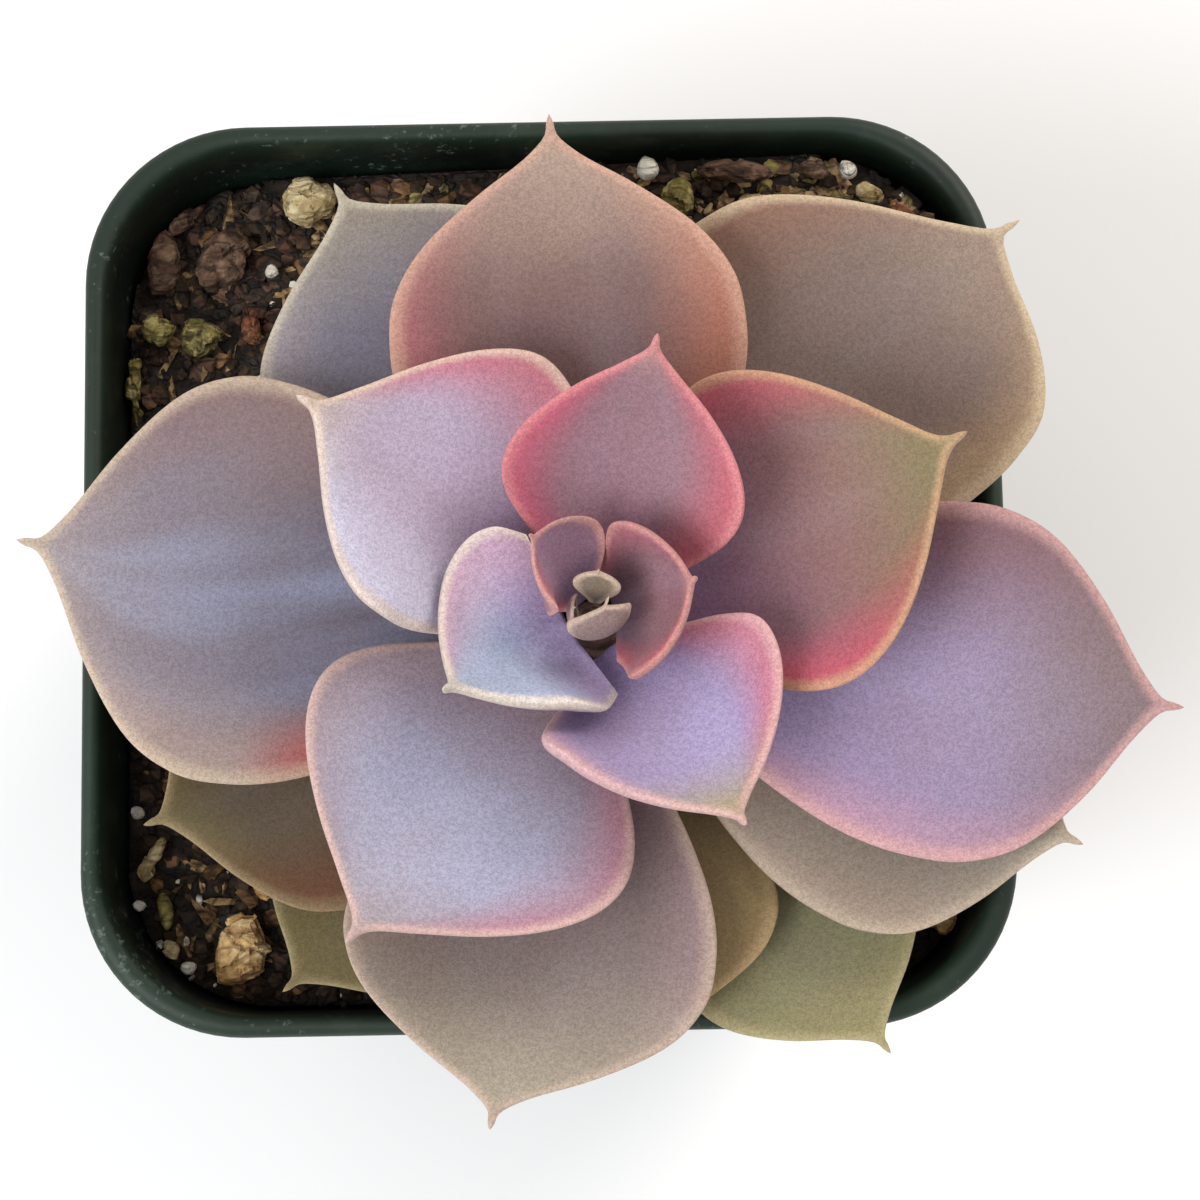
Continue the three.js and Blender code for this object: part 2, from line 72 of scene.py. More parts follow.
def times(tree, first, second):
    return calc(tree, "MULTIPLY", first, second)


def plus(tree, first, second):
    return calc(tree, "ADD", first, second)


def minus(tree, first, second):
    return calc(tree, "SUBTRACT", first, second)


def calcVector(tree, operation, first, second=(0, 0, 0)):
    return addNode(tree, "ShaderNodeVectorMath", {0: first, 1: second}, operation=operation).outputs[0]


def stretch(tree, vector, amount):
    scaling = addNode(tree, "ShaderNodeVectorMath", {0: vector, "Scale": amount}, operation="SCALE")
    return scaling.outputs[0]


def between(tree, value, low, high, toLow=0.0, toHigh=1.0):
    limits = {"Value": value, "From Min": low, "From Max": high, "To Min": toLow, "To Max": toHigh}
    return addNode(tree, "ShaderNodeMapRange", limits, interpolation_type="SMOOTHSTEP").outputs["Result"]


def mixed(tree, share, first, second, blend="MIX"):
    values = {0: share, 6: first, 7: second}
    return addNode(tree, "ShaderNodeMix", values, data_type="RGBA", blend_type=blend).outputs[2]


def noise(tree, vector, scale, detail=2.0, roughness=0.5, distortion=0.0):
    values = {"Vector": vector, "Scale": scale, "Detail": detail}
    values |= {"Roughness": roughness, "Distortion": distortion}
    return addNode(tree, "ShaderNodeTexNoise", values).outputs["Fac"]


def cells(tree, vector, scale, feature="F1", output="Distance"):
    values = {"Vector": vector, "Scale": scale}
    return addNode(tree, "ShaderNodeTexVoronoi", values, feature=feature).outputs[output]


def combine(tree, x, y, z):
    return addNode(tree, "ShaderNodeCombineXYZ", {0: x, 1: y, 2: z}).outputs[0]


def attribute(tree, name):
    return addNode(tree, "ShaderNodeAttribute", attribute_name=name).outputs["Fac"]


def paint(red, green, blue):
    def linear(value):
        share = value / 255
        return share / 12.92 if share <= 0.04045 else ((share + 0.055) / 1.055) ** 2.4

    return (linear(red), linear(green), linear(blue), 1.0)


def newGroup(kind, name, inputs, outputs):
    tree = bpy.data.node_groups.new(name, kind)
    for title, socketType in inputs:
        tree.interface.new_socket(name=title, in_out="INPUT", socket_type="NodeSocket" + socketType)
    for title, socketType in outputs:
        tree.interface.new_socket(name=title, in_out="OUTPUT", socket_type="NodeSocket" + socketType)
    return tree, tree.nodes.new("NodeGroupInput").outputs, tree.nodes.new("NodeGroupOutput").inputs


def useGroup(tree, group, inputs):
    return addNode(tree, "ShaderNodeGroup", inputs, node_tree=group).outputs


def newMaterial(name, values):
    material = bpy.data.materials.new(name)
    material.use_nodes = True
    tree = material.node_tree
    shader = tree.nodes["Principled BSDF"]
    for key, value in values.items():
        shader.inputs[key].default_value = value
    place = addNode(tree, "ShaderNodeTexCoord").outputs["Object"]
    return material, tree, shader, place


def bump(tree, height, strength, distance, shader):
    values = {"Height": height, "Strength": strength, "Distance": distance}
    tree.links.new(addNode(tree, "ShaderNodeBump", values).outputs[0], shader.inputs["Normal"])


def makeZones():
    # Where on a leaf a point is: by its two margins, its base, darker partly by the leaf's own violet and
    # partly by painted shade from the leaves above, its tip, and the thin pale line of the rim, a painted
    # highlight along the rounded margin.
    inputs = [("Across", "Float"), ("Along", "Float"), ("Rim Distance", "Float"), ("Place", "Vector")]
    inputs += [("Left Start", "Float"), ("Right Start", "Float"), ("Base End", "Float")]
    inputs += [("Tip Start", "Float"), ("Rim Width", "Float")]
    outputs = [(name, "Float") for name in ("Left", "Right", "Base", "Tip", "Rim", "Streak", "Patch")]
    tree, given, made = newGroup("ShaderNodeTree", "leafZones", inputs, outputs)
    cloud = minus(tree, noise(tree, given["Place"], 55.0, 2.0), 0.5)
    fine = minus(tree, noise(tree, given["Place"], 420.0, 3.0, 0.6), 0.5)
    wander = plus(tree, times(tree, cloud, 0.55), times(tree, fine, 0.05))
    leftward = plus(tree, given["Across"], times(tree, wander, 0.6))
    rightward = plus(tree, times(tree, given["Across"], -1.0), times(tree, wander, 0.6))
    outward = plus(tree, given["Along"], times(tree, wander, 0.35))
    edgeNoise = plus(tree, given["Rim Distance"], times(tree, fine, 0.5))
    lines = combine(tree, times(tree, given["Across"], 1.3), times(tree, given["Along"], 0.5), 0.0)
    tree.links.new(between(tree, leftward, given["Left Start"], 1.02), made["Left"])
    tree.links.new(between(tree, rightward, given["Right Start"], 1.02), made["Right"])
    tree.links.new(between(tree, outward, 0.04, given["Base End"], 1.0, 0.0), made["Base"])
    tree.links.new(between(tree, outward, given["Tip Start"], 0.98), made["Tip"])
    tree.links.new(between(tree, edgeNoise, 0.15, given["Rim Width"], 1.0, 0.0), made["Rim"])
    shifted = calcVector(tree, "ADD", lines, stretch(tree, given["Place"], 14.0))
    inner = between(tree, calc(tree, "ABSOLUTE", minus(tree, given["Across"], 0.12)), 0.1, 0.8, 1.0, 0.0)
    bands = between(tree, noise(tree, shifted, 1.5, 2.0, 0.45), 0.34, 0.66)
    tree.links.new(times(tree, inner, bands), made["Streak"])
    tree.links.new(between(tree, noise(tree, given["Place"], 90.0, 4.0, 0.55), 0.35, 0.7), made["Patch"])
    return tree


def makeBloom():
    # Powdery wax: fine grains that lighten the skin, and shallow pits.
    tree, given, made = newGroup(
        "ShaderNodeTree", "waxBloom",
        [("Place", "Vector"), ("Scale", "Float")], [("Grain", "Float"), ("Height", "Float")],
    )
    grains = noise(tree, given["Place"], given["Scale"], 2.0, 0.75)
    dots = noise(tree, given["Place"], times(tree, given["Scale"], 0.43), 3.0, 0.65)
    both = plus(tree, times(tree, grains, 0.6), times(tree, dots, 0.4))
    tree.links.new(between(tree, both, 0.3, 0.7), made["Grain"])
    tree.links.new(both, made["Height"])
    return tree


def makeCrumble():
    # Broken, fibrous matter: fibres along one direction, dark cracks and lighter worn spots.
    inputs = [("Place", "Vector"), ("Scale", "Float"), ("Stretch", "Float")]
    outputs = [("Fibre", "Float"), ("Crack", "Float"), ("Worn", "Float"), ("Height", "Float")]
    tree, given, made = newGroup("ShaderNodeTree", "crumble", inputs, outputs)
    parts = addNode(tree, "ShaderNodeSeparateXYZ", {0: given["Place"]}).outputs
    drawn = combine(tree, times(tree, parts[0], given["Stretch"]), parts[1], parts[2])
    fibre = noise(tree, drawn, given["Scale"], 5.0, 0.65, 0.4)
    crack = cells(tree, drawn, times(tree, given["Scale"], 0.7), "DISTANCE_TO_EDGE")
    worn = noise(tree, given["Place"], times(tree, given["Scale"], 0.45), 4.0, 0.6)
    crackMask = between(tree, crack, 0.02, 0.12, 1.0, 0.0)
    tree.links.new(between(tree, fibre, 0.3, 0.7), made["Fibre"])
    tree.links.new(crackMask, made["Crack"])
    tree.links.new(between(tree, worn, 0.48, 0.66), made["Worn"])
    tree.links.new(minus(tree, fibre, times(tree, crackMask, 0.35)), made["Height"])
    return tree


def makeDust():
    tree, given, made = newGroup(
        "ShaderNodeTree", "dust",
        [("Place", "Vector"), ("Scale", "Float"), ("Cover", "Float")], [("Mask", "Float")],
    )
    spots = noise(tree, given["Place"], given["Scale"], 4.0, 0.7)
    areas = noise(tree, given["Place"], times(tree, given["Scale"], 0.07), 2.0)
    level = minus(tree, 1.0, given["Cover"])
    raised = plus(tree, spots, times(tree, minus(tree, areas, 0.5), 0.5))
    tree.links.new(between(tree, raised, level, plus(tree, level, 0.12)), made["Mask"])
    return tree


zonesGroup, bloomGroup, crumbleGroup, dustGroup = makeZones(), makeBloom(), makeCrumble(), makeDust()
print("shared effects ready")


def addPiece(name, mesh):
    piece = bpy.data.objects.new(name, mesh)
    bpy.context.scene.collection.objects.link(piece)
    return piece


def newPiece(name, points, faces, smooth=True):
    mesh = bpy.data.meshes.new(name)
    mesh.from_pydata([tuple(p) for p in points], [], faces)
    mesh.update()
    mesh.polygons.foreach_set("use_smooth", [smooth] * len(mesh.polygons))
    return addPiece(name, mesh)


def setFloats(piece, name, values):
    layer = piece.data.attributes.new(name, "FLOAT", "POINT")
    layer.data.foreach_set("value", np.asarray(values, np.float32))


def faceOutwards(piece):
    work = bmesh.new()
    work.from_mesh(piece.data)
    bmesh.ops.recalc_face_normals(work, faces=work.faces)
    work.to_mesh(piece.data)
    work.free()


def mergedCopy(node):
    work = bmesh.new()
    work.from_mesh(frame["nodes"][node].data)
    bmesh.ops.remove_doubles(work, verts=work.verts, dist=2e-6)
    work.verts.ensure_lookup_table()
    work.verts.index_update()
    return work


def finerPiece(node, name, **cutting):
    # A copy of the node's solid with each edge cut in two.
    work = mergedCopy(node)
    bmesh.ops.subdivide_edges(work, edges=work.edges, cuts=1, use_grid_fill=True, **cutting)
    bmesh.ops.triangulate(work, faces=work.faces)
    mesh = bpy.data.meshes.new(name)
    work.to_mesh(mesh)
    work.free()
    return addPiece(name, mesh)


def stand(piece, nodes, material=None):
    if material:
        piece.data.materials.clear()
        piece.data.materials.append(material)
    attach(piece, "root")
    if nodes:
        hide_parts(*nodes)


def runTree(piece, tree, values):
    # The tree's result becomes a plain mesh.
    modifier = piece.modifiers.new("made", "NODES")
    modifier.node_group = tree
    for item in tree.interface.items_tree:
        if item.in_out == "INPUT" and item.name in values:
            modifier[item.identifier] = values[item.name]
    bpy.context.view_layer.update()
    graph = bpy.context.evaluated_depsgraph_get()
    mesh = bpy.data.meshes.new_from_object(piece.evaluated_get(graph), depsgraph=graph)
    old = piece.data
    piece.modifiers.clear()
    piece.data = mesh
    bpy.data.meshes.remove(old)
    return piece


def endTree(tree, geometry, given, made):
    # Every tree ends in real geometry with its material.
    whole = addNode(tree, "GeometryNodeRealizeInstances", {0: geometry}).outputs[0]
    finish = addNode(tree, "GeometryNodeSetMaterial", {"Geometry": whole, "Material": given["Material"]})
    tree.links.new(finish.outputs[0], made["Geometry"])


leafLook = {
    "columns": 56,
    "rows": 72,
    "depth": 0.83,  # how deep the colours are, 1 for as listed
    "grainScale": 5000.0,
    "grainContrast": 0.22,
    "roughness": 0.56,
    "waviness": 0.22,  # millimetres
    "rimWidth": 2.3,  # millimetres, on the outer leaves
    "rimStrength": 0.68,
}

hiddenLeaf = dict(
    mid=(112, 100, 70), left=(122, 108, 76), right=(120, 106, 74), base=(80, 64, 46), tip=(130, 118, 80),
)

# Colours of each leaf: the middle, both margins (left as seen from the stem), base (the leaf's own violet with
# painted shade from the leaves above), tip and rim line (a painted highlight).
# The two starts say how far in from the middle each margin's colour begins.
leafColors = {
    1: dict(
        mid=(146, 128, 108), left=(156, 136, 114), right=(140, 122, 104), base=(96, 76, 66),
        tip=(178, 162, 138),
    ),
    2: dict(
        mid=(158, 144, 124), left=(168, 152, 132), right=(150, 136, 116), base=(104, 86, 74),
        tip=(184, 168, 144),
    ),
    3: dict(
        mid=(138, 120, 104), left=(146, 128, 110), right=(134, 116, 102), base=(92, 74, 66),
        tip=(170, 152, 132),
    ),
    4: dict(
        mid=(158, 122, 148), left=(204, 112, 128), right=(150, 110, 122), base=(100, 76, 108),
        tip=(204, 142, 142), rim=(222, 166, 156), starts=(0.2, 0.5),
    ),
    5: dict(
        mid=(152, 106, 116), left=(176, 104, 116), right=(196, 100, 112), base=(98, 72, 86),
        tip=(206, 152, 148), rim=(220, 158, 150), starts=(0.5, 0.4),
    ),
    6: dict(
        mid=(188, 204, 236), left=(220, 212, 228), right=(208, 170, 194), base=(176, 158, 206),
        tip=(208, 214, 212), rim=(240, 226, 206), starts=(0.75, 0.1),
    ),
    7: dict(
        mid=(158, 118, 132), left=(208, 98, 124), right=(208, 104, 120), base=(132, 84, 106),
        tip=(198, 152, 144), rim=(228, 146, 148), starts=(0.4, 0.25),
    ),
    8: dict(
        mid=(180, 164, 208), left=(216, 130, 152), right=(210, 168, 194), base=(132, 110, 160),
        tip=(188, 174, 126), rim=(234, 190, 186), starts=(0.4, 0.65), tipStart=0.55,
    ),
    9: dict(
        mid=(196, 178, 204), left=(222, 220, 244), right=(204, 120, 138), base=(122, 80, 116),
        tip=(212, 194, 188), rim=(236, 214, 192), starts=(0.05, 0.4), baseEnd=0.66,
    ),
    10: dict(
        mid=(150, 108, 108), left=(204, 94, 114), right=(204, 92, 112), base=(112, 76, 120),
        tip=(140, 130, 80), rim=(216, 176, 136), starts=(0.45, 0.55), baseEnd=0.62, tipStart=0.5,
    ),
    11: dict(
        mid=(184, 182, 208), left=(192, 136, 152), right=(176, 156, 166), base=(134, 98, 104),
        tip=(188, 172, 178), rim=(228, 192, 180), starts=(0.5, 0.5), baseEnd=0.56,
    ),
    12: dict(
        mid=(132, 100, 94), left=(172, 106, 110), right=(194, 124, 100), base=(92, 60, 74),
        tip=(190, 164, 148), rim=(216, 172, 150), starts=(0.45, 0.35), baseEnd=0.95, tipStart=0.55,
    ),
    13: dict(
        mid=(158, 140, 168), left=(134, 90, 100), right=(196, 152, 174), base=(176, 158, 210),
        tip=(138, 116, 118), rim=(222, 172, 166), starts=(0.02, 0.55), baseEnd=0.8, tipStart=0.58,
    ),
    14: dict(
        mid=(142, 134, 148), left=(178, 156, 150), right=(144, 118, 118), base=(98, 84, 98),
        tip=(176, 164, 166), rim=(216, 196, 170), starts=(0.5, 0.2), streak=(172, 182, 214),
        streaks=0.6, baseEnd=0.8, blush=(206, 104, 104),
    ),
    15: dict(
        mid=(138, 116, 106), left=(150, 108, 90), right=(184, 154, 122), base=(150, 128, 132),
        tip=(166, 142, 124), rim=(226, 204, 168), starts=(0.3, 0.55),
    ),
    16: dict(
        mid=(140, 124, 120), left=(158, 134, 138), right=(156, 134, 124), base=(104, 78, 94),
        tip=(180, 170, 150), rim=(206, 182, 164), starts=(0.5, 0.5), baseEnd=0.62, tipStart=0.5,
    ),
    17: dict(
        mid=(120, 116, 132), left=(158, 150, 158), right=(134, 128, 134), base=(98, 90, 104),
        tip=(158, 148, 136), rim=(208, 198, 174), starts=(0.4, 0.5),
    ),
    18: dict(
        mid=(158, 146, 132), left=(162, 146, 132), right=(172, 154, 138), base=(112, 90, 90),
        tip=(178, 170, 154), rim=(198, 178, 156), starts=(0.5, 0.4),
    ),
    19: dict(
        mid=(108, 92, 68), left=(128, 82, 58), right=(120, 106, 72), base=(76, 56, 42),
        tip=(126, 114, 76), rim=(166, 146, 108), starts=(0.3, 0.5),
    ),
    20: dict(
        mid=(150, 132, 112), left=(160, 138, 116), right=(156, 134, 112), base=(110, 90, 76),
        tip=(166, 146, 120),
    ),
    21: dict(
        mid=(134, 114, 74), left=(142, 120, 80), right=(132, 110, 76), base=(78, 60, 44),
        tip=(148, 130, 84), rim=(184, 158, 114), starts=(0.5, 0.5),
    ),
    22: hiddenLeaf,
    23: hiddenLeaf,
    24: dict(
        mid=(134, 120, 78), left=(144, 132, 86), right=(128, 114, 76), base=(78, 64, 44),
        tip=(138, 126, 82), rim=(168, 152, 110), starts=(0.5, 0.5),
    ),
    25: hiddenLeaf,
    26: dict(
        mid=(144, 142, 104), left=(156, 154, 112), right=(150, 146, 108), base=(88, 78, 56),
        tip=(158, 150, 106), rim=(184, 172, 130), starts=(0.5, 0.5),
    ),
}


def ringsOf(node):
    # The rings of points that the leaf's solid was lofted through, from its base to its tip.
    work = mergedCopy(node)
    spots = np.array([v.co for v in work.verts])
    nearby = [{edge.other_vert(v).index for edge in v.link_edges} for v in work.verts]
    work.free()
    low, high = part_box("stem")
    axis = np.array([(low.x + high.x) / 2, (low.y + high.y) / 2])
    poles = [i for i, others in enumerate(nearby) if len(others) == 12]
    poles.sort(key=lambda i: np.hypot(*(spots[i][:2] - axis)) + 0.2 * spots[i][2])
    root, tip = poles[0], poles[-1]
    first = nearby[root]
    outward = spots[list(first)].mean(0)[:2] - axis
    left = np.array([-outward[1], outward[0], 0.0]) / np.hypot(*outward)
    later = set().union(*[nearby[i] for i in first]) - first - {root}
    onward = spots[list(later)].mean(0) - spots[root]
    face = np.cross(onward, left)
    start = max(first, key=lambda i: spots[i] @ left)
    ring = [start, max(nearby[start] & first, key=lambda i: spots[i] @ face)]
    while len(ring) < 12:
        ring.append(next(i for i in nearby[ring[-1]] & first if i not in ring))
    rings, seen = [ring], {root, *ring}
    while True:
        known = {vertex: i for i, vertex in enumerate(rings[-1])}
        following = set().union(*[nearby[i] for i in rings[-1]]) - seen
        if following == {tip}:
            break
        ring = [0] * 12
        for vertex in following:
            pair = [known[i] for i in nearby[vertex] if i in known]
            ring[next(i for i in pair if (i - 1) % 12 in pair)] = vertex
        rings.append(ring)
        seen.update(ring)
    return spots[root], np.array([spots[ring] for ring in rings]), spots[tip]


def splineThrough(keys, values, wanted):
    # A smooth curve through values at the given keys, with finite-difference slopes.
    slopes = np.gradient(values, keys, axis=0)
    cell = np.clip(np.searchsorted(keys, wanted, side="right") - 1, 0, len(keys) - 2)
    width = keys[cell + 1] - keys[cell]
    t = ((wanted - keys[cell]) / width).reshape((-1,) + (1,) * (values.ndim - 1))
    width = width.reshape(t.shape)
    return (
        (2 * t**3 - 3 * t**2 + 1) * values[cell]
        + (t**3 - 2 * t**2 + t) * width * slopes[cell]
        + (3 * t**2 - 2 * t**3) * values[cell + 1]
        + (t**3 - t**2) * width * slopes[cell + 1]
    )


def leafBlade(number):
    node = f"leaf_{number:02d}"
    root, rings, tip = ringsOf(node)
    middles = np.vstack([rings.mean(1), tip])
    lengths = np.r_[0, np.cumsum(np.linalg.norm(np.diff(middles, axis=0), axis=1))]
    stations = np.concatenate([rings, np.repeat(tip[None, None], 12, 1)])
    rows, columns = leafLook["rows"], leafLook["columns"]
    share = np.linspace(0, 1, rows + 1)[:-1]
    share = share + 0.06 * np.sin(math.pi * share)  # closer together towards the tip
    dense = splineThrough(lengths, stations, share * lengths[-1])
    turns = np.arange(-2, 15)
    wrapped = dense[:, turns % 12].transpose(1, 0, 2)
    angles = np.arange(columns) * 12 / columns
    dense = splineThrough(turns.astype(float), wrapped, angles).transpose(1, 0, 2)
    points = np.vstack([root[None], dense.reshape(-1, 3), tip[None]])
    faces, last = [], 1 + rows * columns
    for j in range(columns):
        following = (j + 1) % columns
        faces.append((0, 1 + following, 1 + j))
        for i in range(rows - 1):
            low, high = 1 + i * columns, 1 + (i + 1) * columns
            faces.append((low + j, low + following, high + following, high + j))
        faces.append((last, last - columns + j, last - columns + following))
    piece = newPiece(f"leaf{number:02d}", points, faces)
    faceOutwards(piece)
    theta = 2 * math.pi * angles / 12
    across = np.tile(np.cos(theta), rows)
    halfWidth = np.linalg.norm(dense[:, 0] - dense[:, columns // 2], axis=1) / 2 / millimetre
    fromRim = (1 - np.abs(np.cos(theta)))[None] * halfWidth[:, None]
    under = np.tile((np.sin(theta) < -0.01).astype(float), rows)
    setFloats(piece, "across", np.r_[0, across, 0])
    setFloats(piece, "along", np.r_[0, np.repeat(share, columns), 1])
    setFloats(piece, "fromRim", np.r_[2, fromRim.ravel(), 0])
    setFloats(piece, "under", np.r_[0, under, 0])
    return piece


def makeLeafRelief():
    # Slow waves over the blade, fading to nothing at the rim so that the outline stays true.
    inputs = [("Geometry", "Geometry"), ("Waviness", "Float"), ("Wave Scale", "Float"), ("Seed", "Float")]
    inputs += [("Material", "Material")]
    tree, given, made = newGroup("GeometryNodeTree", "leafRelief", inputs, [("Geometry", "Geometry")])
    position = tree.nodes.new("GeometryNodeInputPosition").outputs[0]
    normal = tree.nodes.new("GeometryNodeInputNormal").outputs[0]
    rim = addNode(tree, "GeometryNodeInputNamedAttribute", {"Name": "fromRim"}, data_type="FLOAT").outputs[0]
    along = addNode(tree, "GeometryNodeInputNamedAttribute", {"Name": "along"}, data_type="FLOAT").outputs[0]
    values = {"Vector": position, "W": given["Seed"], "Scale": given["Wave Scale"], "Detail": 1.0}
    waves = addNode(tree, "ShaderNodeTexNoise", values, noise_dimensions="4D").outputs[0]
    fade = times(tree, between(tree, rim, 0.5, 6.0), between(tree, along, 0.02, 0.25))
    height = times(tree, minus(tree, waves, 0.5), times(tree, fade, given["Waviness"]))
    offset = stretch(tree, normal, times(tree, height, millimetre))
    moved = addNode(tree, "GeometryNodeSetPosition", {"Geometry": given["Geometry"], "Offset": offset})
    endTree(tree, moved.outputs[0], given, made)
    return tree


def leafMaterial(number):
    colors = leafColors[number]
    values = {"Roughness": leafLook["roughness"], "Specular IOR Level": 0.35, "Sheen Weight": 0.12}
    values |= {"Sheen Roughness": 0.5, "Subsurface Weight": 0.08, "Subsurface Scale": 0.0015}
    material, tree, shader, place = newMaterial(f"leafSkin{number:02d}", values)
    leftStart, rightStart = colors.get("starts", (0.5, 0.5))
    zones = useGroup(tree, zonesGroup, {
        "Across": attribute(tree, "across"), "Along": attribute(tree, "along"),
        "Rim Distance": attribute(tree, "fromRim"), "Place": place,
        "Left Start": leftStart, "Right Start": rightStart,
        "Base End": colors.get("baseEnd", 0.5), "Tip Start": colors.get("tipStart", 0.7),
        "Rim Width": leafLook["rimWidth"] * (0.5 if number < 7 else 0.7 if number < 12 else 1.0),
    })
    bloom = useGroup(tree, bloomGroup, {"Place": place, "Scale": leafLook["grainScale"]})
    middle, tip = paint(*colors["mid"]), paint(*colors["tip"])
    # Towards the base the colour darkens: partly the leaf's own violet, partly painted shade from the leaves
    # above.
    color = mixed(tree, zones["Base"], middle, paint(*colors["base"]))
    streakColor = paint(*colors.get("streak", (198, 200, 218)))
    color = mixed(tree, times(tree, zones["Streak"], colors.get("streaks", 0.08)), color, streakColor)
    color = mixed(tree, zones["Left"], color, paint(*colors["left"]))
    color = mixed(tree, zones["Right"], color, paint(*colors["right"]))
    if "blush" in colors:
        near = between(tree, attribute(tree, "along"), 0.38, 0.56, 1.0, 0.0)
        edge = between(tree, attribute(tree, "across"), 0.55, 0.95)
        color = mixed(tree, times(tree, near, edge), color, paint(*colors["blush"]))
    color = mixed(tree, zones["Tip"], color, tip)
    color = mixed(tree, times(tree, zones["Patch"], 0.16), color, paint(142, 112, 92))
    under = times(tree, attribute(tree, "under"), 0.7)
    color = mixed(tree, under, color, paint(*colors.get("under", (148, 118, 122))))
    # The pale rim line is a painted highlight along the rounded margin.
    rimHighlightColor = paint(*colors.get("rim", (224, 198, 176)))
    color = mixed(tree, times(tree, zones["Rim"], leafLook["rimStrength"]), color, rimHighlightColor)
    low, high = (leafLook["depth"] * (1 + side * leafLook["grainContrast"]) for side in (-1, 1))
    shade = between(tree, bloom["Grain"], 0.0, 1.0, low, high)
    color = mixed(tree, 1.0, color, combine(tree, shade, shade, shade), "MULTIPLY")
    tree.links.new(color, shader.inputs["Base Color"])
    bump(tree, bloom["Height"], 0.25, 0.0002, shader)
    return material


leafRelief = makeLeafRelief()
for number in sorted(leafColors):
    blade = leafBlade(number)
    runTree(blade, leafRelief, {
        "Waviness": leafLook["waviness"] * 2, "Wave Scale": 70.0, "Seed": number * 3.7,
        "Material": leafMaterial(number),
    })
    stand(blade, [f"leaf_{number:02d}"])
print("leaves ready:", len(leafColors))


potLook = {
    "cornerSteps": 18,
    "cornerShare": 18 / 102,  # corner radius as a share of the width
    "color": (20, 40, 27),
    "dark": (5, 13, 9),
    "roughness": 0.48,
    # Half width and height of each ring, from the middle of the underside round the lip to the floor inside.
    "profile": [
        (11, 0), (11.5, 0.5), (12.3, 1.3), (12.8, 1.5), (26.2, 1.5), (26.7, 1.3), (27.6, 0.4), (28.2, 0),
        (35.6, 0), (36.3, 0.15), (36.8, 0.6), (37.1, 1.2), (40.8, 25), (44.8, 50), (48.7, 75.4),
        (48.95, 75.95), (49.35, 76.1), (49.55, 76.3), (49.65, 76.7), (49.8, 80), (50.05, 85.7), (50.2, 86.05),
        (50.6, 86.25), (50.85, 86.6), (50.97, 87.1), (51, 87.6), (50.92, 88.1), (50.7, 88.5), (50.35, 88.8),
        (49.9, 88.97), (49.5, 88.95), (49.1, 88.75), (48.8, 88.4), (48.65, 87.9), (48.55, 87.2),
        (48.2, 82), (47.85, 76.5), (47.7, 75.5), (42.5, 42), (36.9, 5), (36.5, 3.6), (35.6, 3.15), (30, 3.1),
    ],
    "slotLength": 11,
    "slotWidth": 4.5,
    "slotShift": 10.998,  # of each slot's middle from the middle of its side
    "slotDistance": 20.0,
}


def squareRing(half, height, steps):
    radius = 2 * half * potLook["cornerShare"]
    ring = []
    for corner in range(4):
        for step in range(steps):
            angle = (corner + step / (steps - 1)) * math.pi / 2
            turn = corner * math.pi / 2
            away = (half - radius) * math.sqrt(2)
            x = away * math.cos(turn + math.pi / 4) + radius * math.cos(angle)
            y = away * math.sin(turn + math.pi / 4) + radius * math.sin(angle)
            ring.append((x, y, height))
    return np.array(ring) * millimetre


def loft(name, rings, start, end):
    count = len(rings[0])
    points = np.vstack([start, *rings, end])
    faces, last = [], 1 + count * len(rings)
    for j in range(count):
        k = (j + 1) % count
        faces.append((0, 1 + k, 1 + j))
        for i in range(len(rings) - 1):
            low, high = 1 + i * count, 1 + (i + 1) * count
            faces.append((low + j, low + k, high + k, high + j))
        faces.append((last, last - count + j, last - count + k))
    return newPiece(name, points, faces)


def cutSlots(piece):
    half = potLook["slotLength"] / 2 - potLook["slotWidth"] / 2
    outline = []
    for step in range(24):
        angle = 2 * math.pi * (step + 0.5) / 24
        x = half * (1 if math.cos(angle) > 0 else -1) + potLook["slotWidth"] / 2 * math.cos(angle)
        outline.append((x, potLook["slotWidth"] / 2 * math.sin(angle)))
    points, faces = [], []
    for side in range(4):
        for along in (-1, 1):
            first = len(points)
            for height in (-2, 5):
                for x, y in outline:
                    spot = Vector((x + along * potLook["slotShift"], y + potLook["slotDistance"], height))
                    spot.rotate(Matrix.Rotation(side * math.pi / 2, 3, "Z"))
                    points.append(spot * millimetre)
            faces.append([first + i for i in reversed(range(24))])
            faces.append([first + 24 + i for i in range(24)])
            for i in range(24):
                k = (i + 1) % 24
                faces.append((first + i, first + k, first + 24 + k, first + 24 + i))
    cutter = newPiece("slotCutter", points, faces, smooth=False)
    cut = piece.modifiers.new("slots", "BOOLEAN")
    cut.object, cut.operation, cut.solver = cutter, "DIFFERENCE", "EXACT"
    graph = bpy.context.evaluated_depsgraph_get()
    mesh = bpy.data.meshes.new_from_object(piece.evaluated_get(graph), depsgraph=graph)
    piece.modifiers.clear()
    piece.data = mesh
    bpy.data.objects.remove(cutter)


